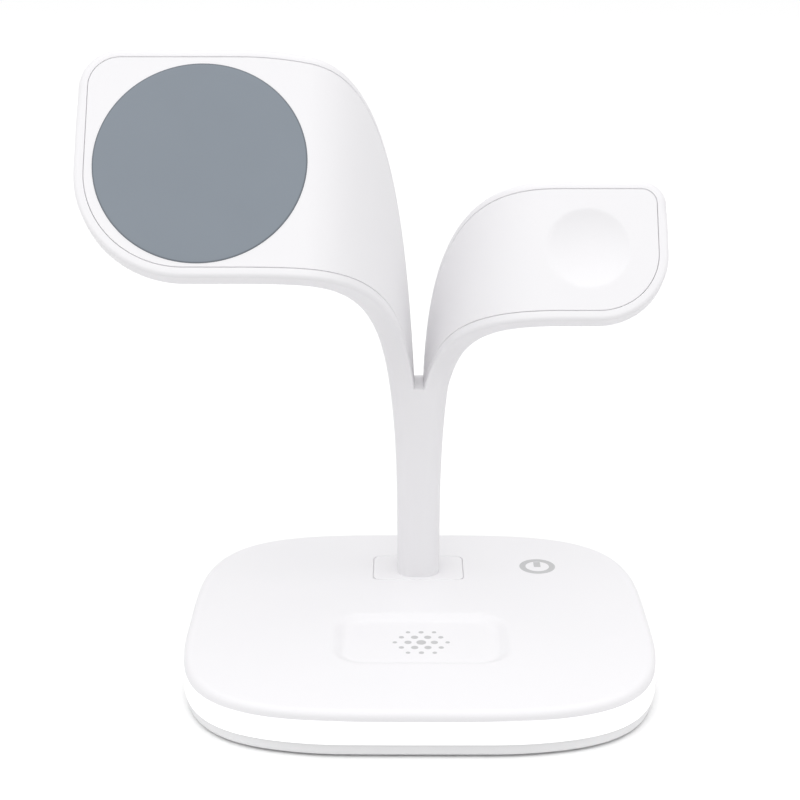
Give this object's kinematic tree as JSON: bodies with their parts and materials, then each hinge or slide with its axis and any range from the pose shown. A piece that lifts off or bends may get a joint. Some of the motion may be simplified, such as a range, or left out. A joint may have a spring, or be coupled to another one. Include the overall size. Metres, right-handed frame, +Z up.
{
  "type": "wireless charging station",
  "caption": "Sprout-shaped wireless charging station: a rounded base with a light band carries a stem that splits into a phone leaf and a smaller watch leaf.",
  "frame": {"origin": "middle of the base outline on the desk plane, at the flat underside of the anti-slip mat", "axes": "+Z up, -Y to the front where the user sits, +X to the user's right on the side of the watch leaf"},
  "size_m": [0.1566, 0.116, 0.1666],
  "materials": {
    "white_shell": "fine satin",
    "grey_tray": "matte",
    "milky_band": "milky diffuser",
    "pad_grey": "soft touch",
    "mat_grey": "matte",
    "copper_winding": "lacquered wire",
    "ferrite_black": "matte",
    "magnet_nickel": "nickel plated",
    "steel": "plain",
    "board_green": "solder mask",
    "chip_black": "matte",
    "strip_white": "matte",
    "lamp_yellow": "cast resin"
  },
  "bodies": {
    "root": {"anti_slip_mat": "mat_grey", "base_bottom_tray": "grey_tray", "light_band": "milky_band", "base_top_cover": "white_shell", "sprout_frame": "white_shell", "phone_leaf_cover": "white_shell", "watch_leaf_cover": "white_shell", "phone_pad": "pad_grey", "phone_coil": "copper_winding", "phone_shield": "ferrite_black", "phone_magnets": "magnet_nickel", "watch_coil": "copper_winding", "watch_magnet": "magnet_nickel", "watch_shield": "ferrite_black", "earbud_coil": "copper_winding", "earbud_shield": "ferrite_black", "ballast_plate": "steel", "main_board": "board_green", "board_chips": "chip_black", "usb_c_shell": "steel", "usb_c_tongue": "chip_black", "touch_spring": "steel", "lamp_strip": "strip_white", "lamps": "lamp_yellow", "base_screws": "steel", "foot_screws": "steel", "board_screws": "steel"}
  },
  "joints": []
}
